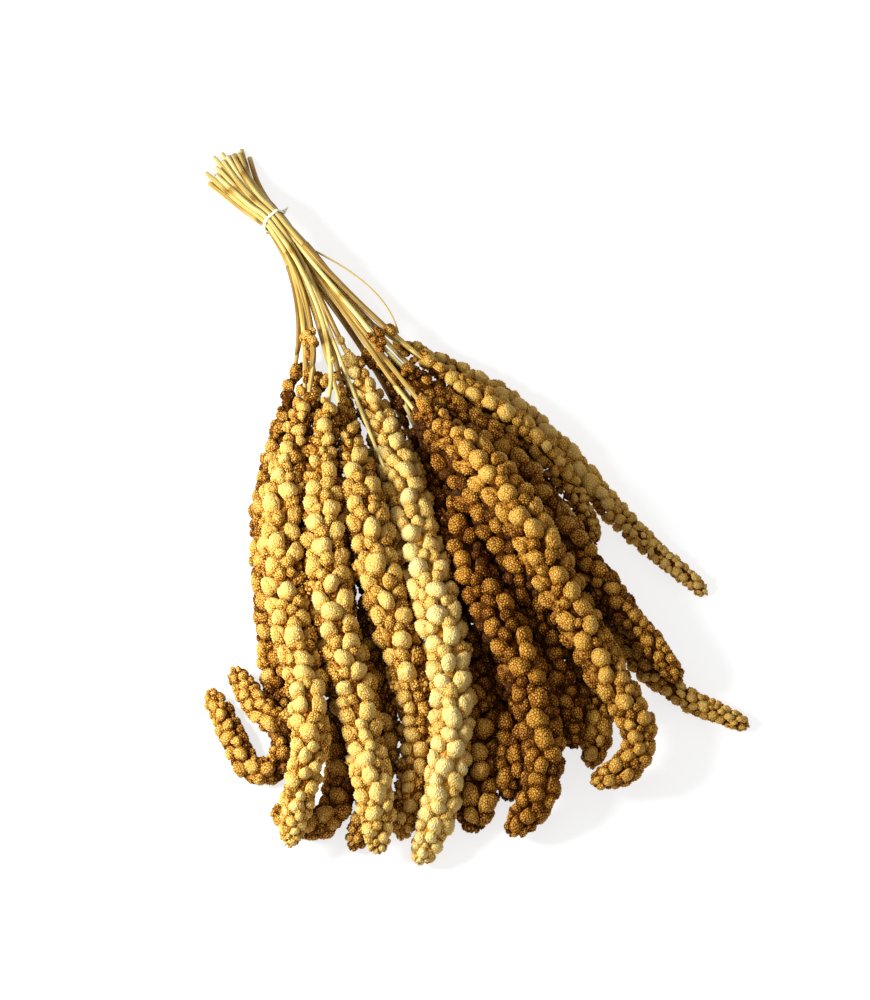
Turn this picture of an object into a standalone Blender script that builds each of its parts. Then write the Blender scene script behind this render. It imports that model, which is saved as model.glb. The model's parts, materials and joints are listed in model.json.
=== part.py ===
"""Tied bunch of foxtail millet ears lying on its side.

Metres, +Z up, the pile resting on z = 0 with the origin under its middle.
The cut ends of the stems lie toward -X +Y and the ears fan out toward -Y.
Eighteen ears, each a stem and a head of rounded seed clusters, and one tie.
"""
import math
import random

import bpy
import bmesh
import numpy as np
from mathutils import Vector
from mathutils.bvhtree import BVHTree

NAME = "foxtail_millet_bunch"
MM = 0.001
SEED = 11

# The bundle in millimetres: where the tie sits, which way the stems leave it, how they are packed
TIE_AT = (-113.0, 184.0)
TIE_HEIGHT = 19.0
TIE_HEADING = -53.0
TIE_RISE = 7.0
STEM_R = 1.3
STEM_FOOT_R = 1.15
STEM_PITCH = 3.05
STEM_STEP = 20.0
STEM_SIDES = 6
TAIL = (53.0, 66.0)
HELD = 5.0

# The tie: a cord round the bundle, slanting across it, a little thicker where it is knotted
BAND_R = 0.85
KNOT_R = 1.3
BAND_SLANT = -10.0
BAND_SIDES = 6
BAND_POINTS = 24

# The heads: share of the radius at the foot and where the tip closes, hollows between the
# clusters, spacing along the axis, and where along a head it curls
HEAD_STEP = 10.0
FOOT_R = 0.52
END_R = 0.7
HOLLOW = 0.8
RING_STEP = 1.0
GENTLE, HOOKED, SHARP = (0.58, 1.0), (0.70, 0.86), (0.80, 0.96)

# How heads lie against each other: share of the radius that yields nothing, room kept between pieces
FIRM = 0.92
ROOM = 0.25
JOIN = 0.3
SINK = 0.4

# One row an ear, from the bottom of the pile up: row in the bundle and place in it, foot of the
# head (x, y), its heading there in degrees, length of the head, bend over that length, curl
# toward the tip and the shares of the length it lies between, widest radius, share of it left
# before the tip closes, clusters round the axis
EARS = (
    (0, 0.0, -10, -4, -84, 182, 4, -25, GENTLE, 12.2, 0.86, 5),
    (1, 0.5, 10, -14, -81, 155, -2, -13, GENTLE, 12.2, 0.84, 5),
    (1, -0.5, -70, 71, -80, 266, 0, -40, GENTLE, 11.6, 0.84, 5),
    (0, -1.0, -91, 75, -79, 291, -13, -121, SHARP, 11.0, 0.92, 5),
    (0, 1.0, -31, 77, -50, 253, -26, -21, GENTLE, 12.8, 0.80, 5),
    (1, -1.5, -98, 92, -102, 312, 34, -173, HOOKED, 9.8, 0.80, 5),
    (2, -1.0, -90, 74, -91, 260, 5, -153, HOOKED, 10.0, 0.80, 5),
    (1, 1.5, -24, 83, -46, 277, -27, 53, GENTLE, 11.8, 0.56, 5),
    (2, 0.0, -27, 58, -76, 262, 22, -73, GENTLE, 12.8, 0.92, 5),
    (2, 1.0, -26, 59, -55, 215, -23, 0, GENTLE, 12.4, 0.78, 5),
    (2, 2.0, -24, 62, -58, 269, -1, -108, SHARP, 12.8, 0.82, 5),
    (3, -1.5, -89, 75, -103, 274, 38, -36, GENTLE, 12.2, 0.80, 5),
    (3, -0.5, -75, 69, -78, 262, 9, -38, GENTLE, 12.4, 0.84, 5),
    (4, -1.0, -76, 62, -98, 263, 38, -24, GENTLE, 12.8, 0.84, 5),
    (3, 1.5, -44, 106, -30, 233, -27, 17, GENTLE, 10.6, 0.56, 5),
    (4, 1.0, -25, 91, -42, 144, -8, -6, GENTLE, 9.8, 0.62, 5),
    (3, 0.5, -39, 84, -44, 239, -15, 7, GENTLE, 13.2, 0.64, 6),
    (4, 0.0, -67, 97, -63, 310, -34, -13, GENTLE, 14.4, 0.80, 6),
)


def ramp(x, low, high):
    """Smooth step of x from 0 at low to 1 at high."""
    t = np.clip((x - low) / (high - low), 0.0, 1.0)
    return t * t * (3.0 - 2.0 * t)


def unit(v):
    return v / math.sqrt((v * v).sum())


def head_radius(f, widest, tip):
    """Radius over the cluster tops at share f of a head's length."""
    foot = FOOT_R + (1.0 - FOOT_R) * ramp(f, 0.0, 0.3)
    body = 1.0 - (1.0 - tip) * ramp(f, 0.35, 0.92)
    return widest * foot * body * (1.0 - (1.0 - END_R) * ramp(f, 0.9, 1.0))


def bundle_frame():
    """Directions of the bundle at the tie: along it toward the heads, across it, and upward."""
    turn, rise = math.radians(TIE_HEADING), math.radians(TIE_RISE)
    along = np.array([math.cos(turn) * math.cos(rise), math.sin(turn) * math.cos(rise), math.sin(rise)])
    across = np.array([-math.sin(turn), math.cos(turn), 0.0])
    return along, across, np.cross(across, along) * -1.0


def slot_place(row, place):
    """Point of a stem in the plane of the tie."""
    along, across, up = bundle_frame()
    middle = np.array([*TIE_AT, TIE_HEIGHT])
    return middle + across * place * STEM_PITCH + up * (row - 2) * STEM_PITCH * math.sqrt(0.75)


def route(ear, rng):
    """Planned line of one ear: points, radii, the two points held by the tie, and the foot."""
    row, place, x, y, heading, length, bend, curl, curled, widest, tip, _ = ear
    along, across, _ = bundle_frame()
    slot = slot_place(row, place)
    tail = rng.uniform(*TAIL)
    # the cut ends fan out and hang toward the table
    turn = math.radians(TIE_HEADING - 4.0 - 5.0 * place + rng.uniform(-1.5, 1.5))
    drop = math.radians(TIE_RISE + 2.0 - row)
    out = -np.array([math.cos(turn) * math.cos(drop), math.sin(turn) * math.cos(drop), math.sin(drop)])
    points = []
    for share in (1.0, 0.6, 0.25):
        way = unit(out * share - along * (1.0 - share))
        points.append(slot - along * HELD + way * (tail - HELD) * share)
    points += [slot - along * HELD, slot + along * HELD]
    held = len(points) - 2
    # a smooth bow from the tie to the foot of the head
    start, end = slot[:2] + along[:2] * HELD, np.array([x, y], float)
    gap = np.linalg.norm(end - start)
    lead = np.array([math.cos(math.radians(heading)), math.sin(math.radians(heading))])
    first, last = along[:2] * gap * 0.9, lead * gap * 0.9
    fine = np.linspace(0, 1, 60)[:, None]
    bow = ((2 * fine**3 - 3 * fine**2 + 1) * start + (fine**3 - 2 * fine**2 + fine) * first
           + (3 * fine**2 - 2 * fine**3) * end + (fine**3 - fine**2) * last)
    run = np.concatenate([[0], np.cumsum(np.linalg.norm(np.diff(bow, axis=0), axis=1))])
    count = max(3, round(run[-1] / STEM_STEP))
    at = np.linspace(0, run[-1], count + 1)[1:]
    stem = np.c_[np.interp(at, run, bow[:, 0]), np.interp(at, run, bow[:, 1])]
    points += [np.array([px, py, slot[2]]) for px, py in stem]
    foot = len(points) - 1
    # the head curls more and more toward its tip
    count = round(length / HEAD_STEP)
    share = (np.arange(count) + 0.5) / count
    turn = np.radians(heading + bend * share + curl * ramp(share, *curled))
    step = length / count
    line = np.array([x, y]) + np.cumsum(step * np.c_[np.cos(turn), np.sin(turn)], axis=0)
    points += [np.array([px, py, slot[2]]) for px, py in line]
    points = np.array(points)
    radius = np.full(len(points), STEM_R)
    radius[foot:] = FIRM * head_radius(np.arange(count + 1) / count, widest, tip)
    return points, radius, held, foot


def nearest(p, q, r, s):
    """Shares along the segments p-q and r-s at which they pass closest."""
    d, e, w = q - p, s - r, p - r
    dd, ee, de = (d * d).sum(1), (e * e).sum(1), (d * e).sum(1)
    dw, ew = (d * w).sum(1), (e * w).sum(1)
    flat = np.maximum(dd * ee - de * de, 1e-9)
    a = np.clip((de * ew - dw * ee) / flat, 0.0, 1.0)
    b = np.clip((de * a + ew) / ee, 0.0, 1.0)
    a = np.clip((de * b - dw) / dd, 0.0, 1.0)
    b = np.clip((de * a + ew) / ee, 0.0, 1.0)
    return a, b


class Pile:
    """The ears as chains of short rods that lie down on each other and on the table."""

    def __init__(self):
        self.points = np.zeros((0, 3))
        self.plan = np.zeros((0, 3))
        self.radius = np.zeros(0)
        self.floor = np.zeros(0)
        self.loose = np.zeros(0)
        self.rods = np.zeros((0, 2), int)
        self.length = np.zeros(0)
        self.owner = np.zeros(0, int)
        self.order = np.zeros(0, int)
        self.head = np.zeros(0, bool)
        self.inner = np.zeros(0, int)
        self.pairs = np.zeros((0, 2), int)

    def add(self, points, radius, held, foot):
        """Lay one more ear over those already there."""
        base, count = len(self.points), len(points)
        placed = points.copy()
        placed[held + 2:, 2] = self.cover(points, radius, held + 2)[held + 2:]
        ear = self.owner.max() + 1 if len(self.owner) else 0
        rods = np.c_[np.arange(count - 1), np.arange(1, count)]
        self.points = np.vstack([self.points, placed])
        self.plan = np.vstack([self.plan, points])
        self.radius = np.r_[self.radius, radius]
        self.floor = np.r_[self.floor, np.where(np.arange(count) < foot, radius + SINK, radius)]
        loose = np.ones(count)
        loose[held:held + 2] = 0.0
        self.loose = np.r_[self.loose, loose]
        self.rods = np.vstack([self.rods, rods + base])
        self.length = np.r_[self.length, np.linalg.norm(np.diff(points[:, :2], axis=0), axis=1)]
        tail = np.linalg.norm(np.diff(points[:held + 2], axis=0), axis=1)
        self.length[-(count - 1):][:held + 1] = tail
        self.owner = np.r_[self.owner, np.full(count - 1, ear)]
        self.order = np.r_[self.order, np.arange(count - 1)]
        self.head = np.r_[self.head, np.arange(count - 1) >= foot]
        inner = [k for k in range(1, count - 1) if loose[k]]
        self.inner = np.r_[self.inner, base + np.array(inner)]

    def cover(self, points, radius, fixed):
        """Least height of each point that clears the table and the ears below."""
        floor = radius.copy()
        if len(self.rods):
            p, q = self.points[self.rods[:, 0]], self.points[self.rods[:, 1]]
            rp, rq = self.radius[self.rods[:, 0]], self.radius[self.rods[:, 1]]
            for i, here in enumerate(points):
                d = (q - p)[:, :2]
                t = np.clip(((here[:2] - p[:, :2]) * d).sum(1) / np.maximum((d * d).sum(1), 1e-9), 0, 1)
                on = p + (q - p) * t[:, None]
                need = radius[i] + np.where(self.head, rp + (rq - rp) * t, rp) + ROOM
                away = np.linalg.norm(on[:, :2] - here[:2], axis=1)
                over = need > away
                if over.any():
                    rise = on[over, 2] + np.sqrt(need[over]**2 - away[over]**2)
                    floor[i] = max(floor[i], rise.max())
        height = floor.copy()
        height[:fixed] = points[:fixed, 2]
        for _ in range(60):
            height[1:-1] = np.maximum(height[1:-1], 0.5 * (height[:-2] + height[2:]) - 0.05)
            height[:fixed] = points[:fixed, 2]
        return height

    def find_pairs(self):
        """Rods near enough to touch within the next steps."""
        p, q = self.points[self.rods[:, 0]], self.points[self.rods[:, 1]]
        middle, half = (p + q) / 2, self.length / 2
        reach = half + np.maximum(self.radius[self.rods[:, 0]], self.radius[self.rods[:, 1]])
        i, j = np.triu_indices(len(self.rods), 1)
        keep = (self.owner[i] != self.owner[j]) | (np.abs(self.order[i] - self.order[j]) > 6)
        free = self.loose[self.rods].sum(1)
        keep &= free[i] + free[j] > 0
        i, j = i[keep], j[keep]
        near = ((middle[i] - middle[j])**2).sum(1) < (reach[i] + reach[j] + 6.0)**2
        self.pairs = np.c_[i[near], j[near]]

    def part_rods(self, push):
        """Moves touching rods apart; returns the least room between any two."""
        i, j = self.pairs[:, 0], self.pairs[:, 1]
        a0, a1, b0, b1 = self.rods[i, 0], self.rods[i, 1], self.rods[j, 0], self.rods[j, 1]
        x = self.points
        a, b = nearest(x[a0], x[a1], x[b0], x[b1])
        pa = x[a0] + (x[a1] - x[a0]) * a[:, None]
        pb = x[b0] + (x[b1] - x[b0]) * b[:, None]
        r = self.radius
        ra = np.where(self.head[i], r[a0] + (r[a1] - r[a0]) * a, r[a0])
        rb = np.where(self.head[j], r[b0] + (r[b1] - r[b0]) * b, r[b0])
        away = pa - pb
        far = np.maximum(np.sqrt((away * away).sum(1)), 1e-6)
        room = far - ra - rb
        hit = room < ROOM
        if hit.any():
            ends = ((a0, 1 - a, 1), (a1, a, 1), (b0, 1 - b, -1), (b1, b, -1))
            share = sum(w * w * self.loose[k] for k, w, _ in ends)
            size = np.where(hit & (share > 1e-6), (ROOM - room) / np.maximum(share, 0.05), 0.0)
            move, count = np.zeros_like(x), np.zeros(len(x))
            for k, w, sign in ends:
                piece = (sign * w * self.loose[k] * size / far)[:, None] * away
                for axis in range(3):
                    move[:, axis] += np.bincount(k, piece[:, axis], len(x))
                count += np.bincount(k, hit * (w > 0.02), len(x))
            self.points = x + push * move / np.maximum(count, 1)[:, None]
        return room.min() if len(room) else 9.0

    def hold_shape(self, stiff, follow):
        """Keeps lengths, bends as planned and draws each point back toward its planned place."""
        x, k = self.points, self.inner
        turn = x[k - 1] + x[k + 1] - 2 * x[k]
        wanted = self.plan[k - 1] + self.plan[k + 1] - 2 * self.plan[k]
        wanted[:, 2] = 0.0
        x[k] += 0.25 * stiff * (turn - wanted)
        x[:, :2] += (follow * self.loose)[:, None] * (self.plan - x)[:, :2]
        for _ in range(2):
            p, q = self.rods[:, 0], self.rods[:, 1]
            d = x[q] - x[p]
            far = np.maximum(np.sqrt((d * d).sum(1)), 1e-6)
            free = self.loose[p] + self.loose[q]
            size = np.where(free > 0, 0.5 * (far - self.length) / (np.maximum(free, 1) * far), 0.0)
            for axis in range(3):
                x[:, axis] += np.bincount(p, size * self.loose[p] * d[:, axis], len(x))
                x[:, axis] -= np.bincount(q, size * self.loose[q] * d[:, axis], len(x))

    def settle(self, steps, fall, stiff, follow, push=0.7):
        """Lets the pile sink for some steps."""
        room = 0.0
        for step in range(steps):
            if step % 15 == 0:
                self.points = np.round(self.points, 5)
                self.find_pairs()
            self.points[:, 2] -= fall * self.loose
            self.hold_shape(stiff, follow)
            room = self.part_rods(push)
            self.points[:, 2] = np.maximum(self.points[:, 2], self.floor)
        return room


def lay_pile():
    """Lays all the ears down one after another and lets the pile settle."""
    rng = random.Random(SEED)
    pile, spans = Pile(), []
    for ear in EARS:
        points, radius, held, foot = route(ear, rng)
        spans.append((len(pile.points), len(pile.points) + foot, len(pile.points) + len(points)))
        pile.add(points, radius, held, foot)
        pile.settle(40, 0.1, 0.5, 0.08)
    pile.settle(300, 0.1, 0.5, 0.08)
    pile.settle(200, 0.02, 0.3, 0.01)
    pile.settle(400, 0.0, 0.04, 0.0, 1.1)
    return pile, spans


def smooth_line(points):
    """Fine smooth curve through a chain of points, with the length run at each of its points."""
    p = np.vstack([2 * points[0] - points[1], points, 2 * points[-1] - points[-2]])
    t = np.linspace(0, 1, 9)[:-1, None]
    fine = [0.5 * (2 * b + (c - a) * t + (2 * a - 5 * b + 4 * c - d) * t**2
                   + (3 * b - a - 3 * c + d) * t**3) for a, b, c, d in zip(p, p[1:], p[2:], p[3:])]
    fine = np.vstack(fine + [points[-1:]])
    return fine, np.concatenate([[0], np.cumsum(np.sqrt((np.diff(fine, axis=0)**2).sum(1)))])


def place_at(fine, run, s):
    """Point of a smooth curve at length s."""
    return np.array([np.interp(s, run, fine[:, k]) for k in range(3)])


def frames(points):
    """Axis point, side direction and up direction for each point, turning as little as possible."""
    result, side = [], np.array([0.0, 0.0, 1.0])
    for k in range(len(points)):
        way = unit(points[min(k + 1, len(points) - 1)] - points[max(k - 1, 0)])
        side = unit(side - way * (side * way).sum())
        result.append((points[k], side, np.cross(way, side)))
    return result


class Head:
    """A head: a sphere whose rings are strung along the chain. Its corners stand out as clusters
    and the middle of each face sinks as the hollow between three of them."""

    def __init__(self, name, chain, widest, tip, around, seed):
        rng = random.Random(seed)
        fine, run = smooth_line(chain)
        total = run[-1]
        stations, s = [0.0], 3.0
        while s < total - 2.0:
            stations.append(s)
            s += RING_STEP * 5 / around * (0.8 * float(head_radius(s / total, widest, tip)) + 0.2 * widest)
        stations.append(s)
        stations = [s * total / stations[-1] for s in stations]
        axis = frames([place_at(fine, run, s) for s in stations])
        rings = len(stations) - 1

        self.name = name
        self.bm = bm = bmesh.new()
        bmesh.ops.create_uvsphere(bm, u_segments=around, v_segments=rings, radius=1.0)
        station_of = {}
        for vert in bm.verts:
            ring = round(math.acos(max(-1.0, min(1.0, vert.co.z))) / math.pi * rings)
            station_of[vert] = stations[ring]
            centre, side, up = axis[ring]
            angle = math.atan2(vert.co.y, vert.co.x) + math.pi / around * (ring % 2)
            angle += rng.uniform(-0.16, 0.16)
            radius = float(head_radius(stations[ring] / total, widest, tip)) * rng.uniform(0.88, 1.0)
            if ring in (0, rings):
                radius = 0.0
            vert.co = Vector(centre + (side * math.cos(angle) + up * math.sin(angle)) * radius)
        bmesh.ops.triangulate(bm, faces=bm.faces[:], quad_method="SHORT_EDGE")
        ridges = bm.edges[:]
        self.middle = {vert: Vector(place_at(fine, run, s)) for vert, s in station_of.items()}
        bmesh.ops.poke(bm, faces=bm.faces[:], center_mode="MEAN")
        for vert in bm.verts:
            if vert not in self.middle:
                s = sum(station_of[edge.other_vert(vert)] for edge in vert.link_edges) / 3
                middle = Vector(place_at(fine, run, s))
                vert.co = middle + (vert.co - middle) * HOLLOW
                self.middle[vert] = middle
        bmesh.ops.rotate_edges(bm, edges=ridges, use_ccw=False)
        bmesh.ops.recalc_face_normals(bm, faces=bm.faces[:])
        bm.verts.index_update()

    def skin(self, swell):
        """The surface, swelled by half the room it keeps, to look for what it touches."""
        self.bm.normal_update()
        spots = [vert.co + vert.normal * swell for vert in self.bm.verts]
        return BVHTree.FromPolygons(spots, [[v.index for v in f.verts] for f in self.bm.faces])

    def yield_at(self, faces):
        """Presses the clusters at some faces toward the axis."""
        self.bm.faces.ensure_lookup_table()
        for vert in {v for face in faces for v in self.bm.faces[face].verts}:
            middle = self.middle[vert]
            if (vert.co - middle).length > 3.5:
                vert.co = middle + (vert.co - middle) * 0.97

    def finish(self, centre, material, collection):
        """Flattens the clusters that press on the table and makes the object."""
        bm = self.bm
        bmesh.ops.translate(bm, vec=-Vector(centre), verts=bm.verts[:])
        geometry = bm.verts[:] + bm.edges[:] + bm.faces[:]
        bmesh.ops.bisect_plane(bm, geom=geometry, dist=0.02, plane_co=(0, 0, 0), plane_no=(0, 0, 1),
                               clear_inner=True)
        bmesh.ops.holes_fill(bm, edges=[e for e in bm.edges if e.is_boundary], sides=0)
        bmesh.ops.triangulate(bm, faces=bm.faces[:])
        bmesh.ops.recalc_face_normals(bm, faces=bm.faces[:])
        bmesh.ops.scale(bm, vec=(MM, MM, MM), verts=bm.verts[:])
        mesh = bpy.data.meshes.new(self.name)
        self.bm.to_mesh(mesh)
        self.bm.free()
        return add_object(self.name, mesh, material, collection)


def rod_skin(chain, radius):
    """Surface of a stem as a chain of hexagons."""
    spots, faces = [], []
    for k, (centre, side, up) in enumerate(frames(chain)):
        for n in range(6):
            angle = math.pi / 3 * n
            spots.append(Vector(centre + (side * math.cos(angle) + up * math.sin(angle)) * radius))
            if k:
                a, b = 6 * k + n, 6 * k + (n + 1) % 6
                faces.append([a - 6, b - 6, b, a])
    return BVHTree.FromPolygons(spots, faces)


def press_together(heads, stems):
    """Presses clusters in wherever two heads, or a head and a stem, would meet."""
    for _ in range(40):
        skins = [head.skin(ROOM / 2 + 0.03) for head in heads]
        touched = [set() for _ in heads]
        for i, one in enumerate(skins):
            for j in range(i + 1, len(skins)):
                for a, b in one.overlap(skins[j]):
                    touched[i].add(a)
                    touched[j].add(b)
            for stem in stems:
                touched[i].update(a for a, _ in one.overlap(stem))
        if not any(touched):
            break
        for head, faces in zip(heads, touched):
            head.yield_at(faces)


def make_tube(name, points, radii, sides, material, collection, closed=False):
    """A round rod along a chain of points, capped unless it closes on itself."""
    curve = bpy.data.curves.new(name, "CURVE")
    curve.dimensions = "3D"
    curve.bevel_depth = MM
    curve.bevel_resolution = (sides - 4) // 2
    curve.use_fill_caps = not closed
    spline = curve.splines.new("POLY")
    spline.points.add(len(points) - 1)
    spline.use_cyclic_u = closed
    for knot, spot, radius in zip(spline.points, points, radii):
        knot.co = (*(spot * MM), 1.0)
        knot.radius = radius
    return add_object(name, curve, material, collection)


def add_object(name, data, material, collection):
    """Puts a mesh or a curve in the collection, with its material."""
    obj = bpy.data.objects.new(name, data)
    data.materials.append(material)
    collection.objects.link(obj)
    return obj


def make_stem(name, chain, material, collection):
    """A stem from its cut end to just short of the foot of the head."""
    radii = np.interp(np.arange(len(chain)), [0, 5, len(chain) - 1], [STEM_R, STEM_R, STEM_FOOT_R])
    return make_tube(name, chain, radii, STEM_SIDES, material, collection)


def make_tie(shift, material, collection):
    """The band: a cord round the outline of the bundle, thicker where it is knotted."""
    along, across, up = bundle_frame()
    slots = [slot_place(row, place) for row, place, *_ in EARS]
    centre = slot_place(2, 0.0)
    points, radii = [], []
    for k in range(BAND_POINTS):
        angle = 2 * math.pi * (k + 0.5) / BAND_POINTS
        out = across * math.cos(angle) + up * math.sin(angle)
        edge = max(slots, key=lambda spot: (spot * out).sum())
        radius = BAND_R + (KNOT_R - BAND_R) * max(0.0, math.cos(angle))**8
        spot = edge + out * (STEM_R + JOIN + radius)
        spot = spot + along * math.tan(math.radians(BAND_SLANT)) * ((spot - centre) * across).sum()
        points.append(spot + shift)
        radii.append(radius)
    return make_tube("tie", points, radii, BAND_SIDES, material, collection, closed=True)


def make_material(name, colour, roughness):
    """A plain surface colour."""
    material = bpy.data.materials.new(name)
    material.use_nodes = True
    shader = material.node_tree.nodes["Principled BSDF"]
    shader.inputs["Base Color"].default_value = (*colour, 1.0)
    shader.inputs["Roughness"].default_value = roughness
    shader.inputs["Metallic"].default_value = 0.0
    material.diffuse_color = (*colour, 1.0)
    return material


def main():
    for obj in list(bpy.data.objects):
        bpy.data.objects.remove(obj, do_unlink=True)
    collection = bpy.data.collections.new(NAME)
    bpy.context.scene.collection.children.link(collection)
    seed_gold = make_material("millet seed", (0.56, 0.30, 0.07), 0.8)
    straw = make_material("dry straw", (0.62, 0.43, 0.17), 0.6)
    cord = make_material("pale cord", (0.85, 0.83, 0.76), 0.6)

    pile, spans = lay_pile()
    pile.points[:, 2] -= SINK
    heads, stems = [], []
    for number, (ear, (first, foot, end)) in enumerate(zip(EARS, spans), 1):
        heads.append(Head(f"head_{number:02d}", pile.points[foot:end], *ear[9:], number))
        stem = pile.points[first:foot + 1].copy()
        stem[-1] -= unit(stem[-1] - stem[-2]) * JOIN
        stems.append(stem)
    press_together(heads, [rod_skin(stem, STEM_R + 0.2) for stem in stems])

    # the origin goes under the middle of the whole bunch
    spots = [vert.co for head in heads for vert in head.bm.verts]
    for stem in stems:
        way = unit(stem[1] - stem[0])
        spread = STEM_R * np.sqrt(1.0 - way * way)
        spots += [stem[0] - spread, stem[0] + spread]
    spots = np.array(spots)
    centre = (spots.min(0) + spots.max(0)) / 2
    centre[2] = 0.0
    for head in heads:
        head.finish(centre, seed_gold, collection)
    for number, stem in enumerate(stems, 1):
        make_stem(f"stem_{number:02d}", stem - centre, straw, collection)
    make_tie(np.array([-centre[0], -centre[1], -SINK]), cord, collection)


if __name__ == "__main__":
    main()
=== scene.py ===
# %% [markdown]
# A tied bunch of foxtail millet, dried. Each ear is a thin straw stem with a long head of grain, and
# the grain sits in round clusters like beads round a string. The ears lie on each other in a fan, and
# a pale band holds the stems near their cut ends. The frame already has each ear in its place, so
# this lesson dresses it: clusters with their grains in mesh, straw with its fibres, and the band.

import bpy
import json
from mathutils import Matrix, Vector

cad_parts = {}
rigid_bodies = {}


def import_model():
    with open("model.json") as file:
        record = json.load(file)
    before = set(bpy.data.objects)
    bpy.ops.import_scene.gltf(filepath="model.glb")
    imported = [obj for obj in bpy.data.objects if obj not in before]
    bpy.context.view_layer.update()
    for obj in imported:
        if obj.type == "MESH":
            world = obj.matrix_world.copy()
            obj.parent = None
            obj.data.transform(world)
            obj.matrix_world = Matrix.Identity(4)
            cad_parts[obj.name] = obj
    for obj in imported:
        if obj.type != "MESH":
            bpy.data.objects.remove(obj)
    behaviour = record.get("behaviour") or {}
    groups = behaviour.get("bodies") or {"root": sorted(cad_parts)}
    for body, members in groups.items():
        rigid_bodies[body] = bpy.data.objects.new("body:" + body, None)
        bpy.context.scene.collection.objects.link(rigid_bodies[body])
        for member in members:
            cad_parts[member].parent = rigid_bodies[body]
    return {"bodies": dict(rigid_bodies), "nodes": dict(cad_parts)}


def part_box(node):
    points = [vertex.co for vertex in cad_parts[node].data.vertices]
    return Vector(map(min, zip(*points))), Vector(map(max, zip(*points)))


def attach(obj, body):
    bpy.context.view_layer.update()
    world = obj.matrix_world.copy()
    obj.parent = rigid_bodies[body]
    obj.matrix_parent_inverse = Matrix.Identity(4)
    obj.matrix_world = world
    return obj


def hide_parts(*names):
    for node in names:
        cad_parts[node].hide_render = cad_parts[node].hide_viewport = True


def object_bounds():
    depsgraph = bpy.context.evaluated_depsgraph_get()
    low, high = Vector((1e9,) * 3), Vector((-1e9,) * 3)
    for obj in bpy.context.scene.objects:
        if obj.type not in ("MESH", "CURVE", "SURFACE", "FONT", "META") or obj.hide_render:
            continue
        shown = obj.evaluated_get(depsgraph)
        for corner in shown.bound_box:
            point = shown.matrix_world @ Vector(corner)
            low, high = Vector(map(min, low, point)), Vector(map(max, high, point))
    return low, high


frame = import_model()
cad_box = [list(corner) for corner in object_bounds()]

import json
import math

import bmesh
import bpy
import numpy as np
from mathutils import Vector, kdtree, noise
from mathutils.bvhtree import BVHTree

HEADS = sorted(name for name in frame["nodes"] if name.startswith("head"))
STEMS = sorted(name for name in frame["nodes"] if name.startswith("stem"))
BODY = sorted(frame["bodies"])[0]
MM = 0.001
print("heads", len(HEADS), "stems", len(STEMS))
print("box in mm", [[round(x / MM) for x in corner] for corner in cad_box])

# %% [markdown]
# The camera comes first, because it says how large everything is in the picture. The bunch lies on a
# table and is seen from high in front, 66 degrees above the table, from nearly two metres away. A
# long lens from far off keeps the ears near the camera from looking larger than those behind. How long
# it is follows from the distance and from how much it has to take in.

# %% Camera
TILT = math.radians(66)
DISTANCE = 1.9
PICTURE_HEIGHT = 0.55
PICTURE_SHAPE = 870 / 1000
SENSOR = 36
# the camera looks at a place this far from the middle of the tie, and this high over the table
AIM = (0.113, -0.184)
AIM_HEIGHT = 0.030

tie_low, tie_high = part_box("tie")
tie_centre = (tie_low + tie_high) / 2
target = Vector((tie_centre.x + AIM[0], tie_centre.y + AIM[1], AIM_HEIGHT))
back = Vector((0, -math.cos(TILT), math.sin(TILT)))
camera_data = bpy.data.cameras.new("camera")
camera_data.sensor_fit = "VERTICAL"
camera_data.sensor_height = SENSOR
camera_data.sensor_width = SENSOR * PICTURE_SHAPE
camera_data.lens = SENSOR * DISTANCE / PICTURE_HEIGHT
# a small shift moves the bunch to its place in the frame without turning the camera
camera_data.shift_x = -0.036
camera_data.shift_y = 0.005
camera_data.clip_end = 20
camera = bpy.data.objects.new("camera", camera_data)
camera.location = target + back * DISTANCE
camera.rotation_euler = back.to_track_quat("Z", "Y").to_euler()
bpy.context.scene.collection.objects.link(camera)
bpy.context.scene.camera = camera
print("camera at", [round(x, 3) for x in camera.location], "lens in mm", round(camera_data.lens))

# %% [markdown]
# Materials are built from nodes. Small functions link nodes, add one with its settings, add up values
# with a weight for each, and turn hex colours into the linear values that Blender wants.

# %% Helpers for materials
def linear(colour):
    """Linear RGBA of an sRGB hex colour."""
    parts = [int(colour[k:k + 2], 16) / 255 for k in (1, 3, 5)]
    return [x / 12.92 if x <= 0.04045 else ((x + 0.055) / 1.055) ** 2.4 for x in parts] + [1.0]


def feed(material, node, links):
    """Links other nodes to the inputs of a node, given as input: (node, output)."""
    for name, (source, output) in dict(links).items():
        material.node_tree.links.new(source.outputs[output], node.inputs[name])


def add_node(material, kind, settings=(), links=()):
    """Adds a node; settings are properties or input values, links are input: (node, output)."""
    node = material.node_tree.nodes.new("ShaderNode" + kind)
    for name, value in dict(settings).items():
        if name == "stops":
            while len(node.color_ramp.elements) < len(value):
                node.color_ramp.elements.new(0.5)
            for element, (place, colour) in zip(node.color_ramp.elements, value):
                element.position, element.color = place, linear(colour)
        elif isinstance(name, int) or name in node.inputs:
            node.inputs[name].default_value = value
        else:
            setattr(node, name, value)
    feed(material, node, links)
    return node


def weigh(material, sources):
    """Sum of values, each times its weight and with its offset."""
    total = None
    for node, output, weight, offset in sources:
        part = add_node(material, "Math", {"operation": "MULTIPLY_ADD", 1: weight, 2: offset},
                        {0: (node, output)})
        if total is not None:
            part = add_node(material, "Math", {"operation": "ADD"}, {0: (total, 0), 1: (part, 0)})
        total = part
    return total


def new_material(name, settings):
    """An empty material with a shader and its constant values; returns both."""
    material = bpy.data.materials.new(name)
    material.use_nodes = True
    shader = material.node_tree.nodes["Principled BSDF"]
    for label, value in settings.items():
        shader.inputs[label].default_value = value
    return material, shader


print("white as linear", linear("#FFFFFF"))

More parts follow.
